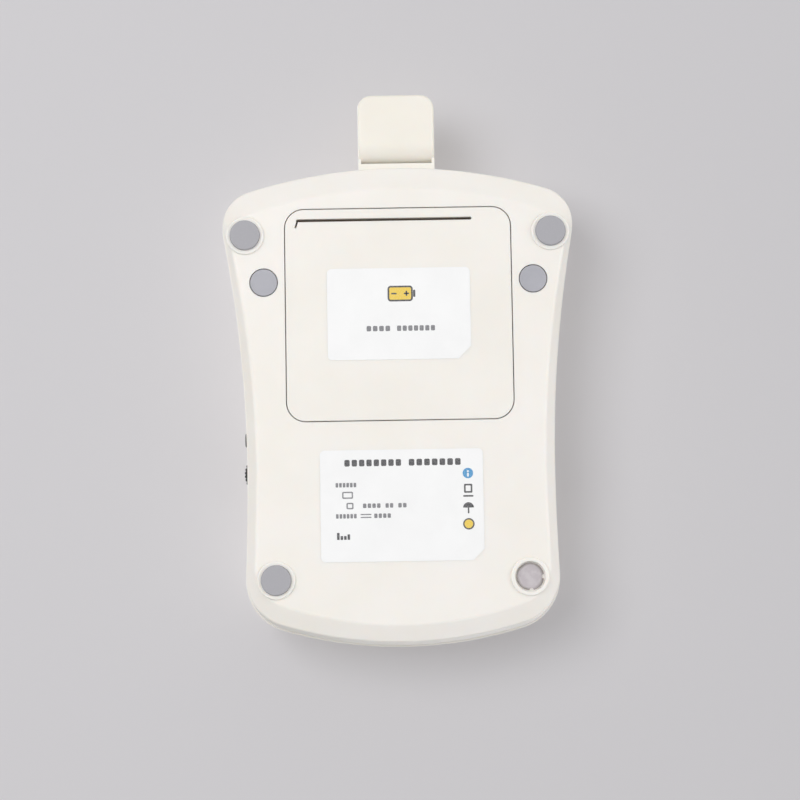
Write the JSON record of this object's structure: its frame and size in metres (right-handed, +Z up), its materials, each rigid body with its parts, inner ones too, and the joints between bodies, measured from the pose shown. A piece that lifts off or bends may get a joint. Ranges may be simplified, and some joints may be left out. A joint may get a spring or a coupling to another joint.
{
  "type": "veterinary vascular doppler",
  "caption": "Bench doppler for blood flow: waisted two-part shell on rubber feet, display, keys, speaker, hinged battery cover, thumbwheel and a U-shaped probe hook.",
  "frame": {"origin": "on the surface it stands on, under the middle of its whole length, hook included", "axes": "+Z up, out of the display face; +Y along the body to the probe hook; +X to the side with the phone jack"},
  "size_m": [0.1132, 0.1761, 0.036],
  "materials": {
    "shell_plastic": "satin",
    "hook_plastic": "satin",
    "grey_rubber": "matt",
    "glue": "semi-gloss",
    "plug_plastic": "satin",
    "label_film": "matt",
    "black_plastic": "matt",
    "jack_plastic": "satin",
    "lens_plastic": "gloss",
    "display_glass": "gloss",
    "lit_sheet": "satin",
    "foam": "matt",
    "ribbon_film": "gloss",
    "board": "semi-gloss",
    "chip": "matt",
    "screw_steel": "plated",
    "insert_brass": "machined",
    "can_tin": "tinned",
    "cell_foil": "satin",
    "pack_plastic": "semi-gloss",
    "contact_gold": "plated",
    "key_plastic": "satin",
    "power_plastic": "satin",
    "mat_rubber": "matt",
    "pipe_plastic": "gloss",
    "led": "gloss",
    "speaker_steel": "satin",
    "cone_paper": "matt",
    "magnet": "plated",
    "mesh": "matt",
    "socket_shell": "plated"
  },
  "bodies": {
    "housing": {"rear_housing": "shell_plastic", "front_housing": "shell_plastic", "probe_hook": "hook_plastic", "rubber_feet": "grey_rubber", "foot_glue_pad": "glue", "screw_plugs": "plug_plastic", "housing_screws": "screw_steel", "screw_inserts": "insert_brass", "back_label": "label_film", "contact_block": "black_plastic", "contact_pins": "contact_gold", "display_lens": "lens_plastic", "display_gasket": "foam", "display_frame": "black_plastic", "display_glass": "display_glass", "backlight_sheet": "lit_sheet", "display_ribbon": "ribbon_film", "main_board": "board", "board_screws": "screw_steel", "shield_can": "can_tin", "board_chips": "chip", "keypad_mat": "mat_rubber", "phone_jack": "jack_plastic", "charge_jack": "black_plastic", "probe_socket": "socket_shell", "socket_nut": "screw_steel", "socket_pins": "contact_gold", "volume_pot": "black_plastic", "speaker_mesh": "mesh", "speaker_frame": "speaker_steel", "speaker_cone": "cone_paper", "speaker_magnet": "magnet", "charge_light": "led", "light_pipe": "pipe_plastic"},
    "cover": {"battery_cover": "shell_plastic", "cover_label": "label_film"},
    "battery": {"battery_case": "pack_plastic", "battery_cells": "cell_foil", "battery_contact_pads": "contact_gold"},
    "wheel": {"volume_wheel": "black_plastic"},
    "power_button": {"power_key": "power_plastic"},
    "mode_button": {"mode_key": "key_plastic"},
    "memory_button": {"memory_key": "key_plastic"},
    "backlight_button": {"backlight_key": "key_plastic"}
  },
  "joints": [
    {"name": "cover_hinge", "type": "hinge", "parent": "housing", "child": "cover", "pos_m": [0, -0.01657, 0.0018], "axis": [-1, 0, 0], "range_deg": [0, 100]},
    {"name": "battery_slide", "type": "slide", "parent": "housing", "child": "battery", "axis": [0, 0, -1], "range_m": [0, 0.022]},
    {"name": "volume_turn", "type": "hinge", "parent": "housing", "child": "wheel", "pos_m": [0.04305, -0.03207, 0.0215], "axis": [0, 0, 1], "range_deg": [0, 270]},
    {"name": "power_press", "type": "slide", "parent": "housing", "child": "power_button", "axis": [0, 0, -1], "range_m": [0, 0.0008], "stiffness_N_per_m": 600},
    {"name": "mode_press", "type": "slide", "parent": "housing", "child": "mode_button", "axis": [0, 0, -1], "range_m": [0, 0.0008], "stiffness_N_per_m": 600},
    {"name": "memory_press", "type": "slide", "parent": "housing", "child": "memory_button", "axis": [0, 0, -1], "range_m": [0, 0.0008], "stiffness_N_per_m": 600},
    {"name": "backlight_press", "type": "slide", "parent": "housing", "child": "backlight_button", "axis": [0, 0, -1], "range_m": [0, 0.0008], "stiffness_N_per_m": 600}
  ],
  "couplings": [
    {"joint": "battery_slide", "follows": "cover_hinge", "m_per_rad": 0.0126}
  ]
}
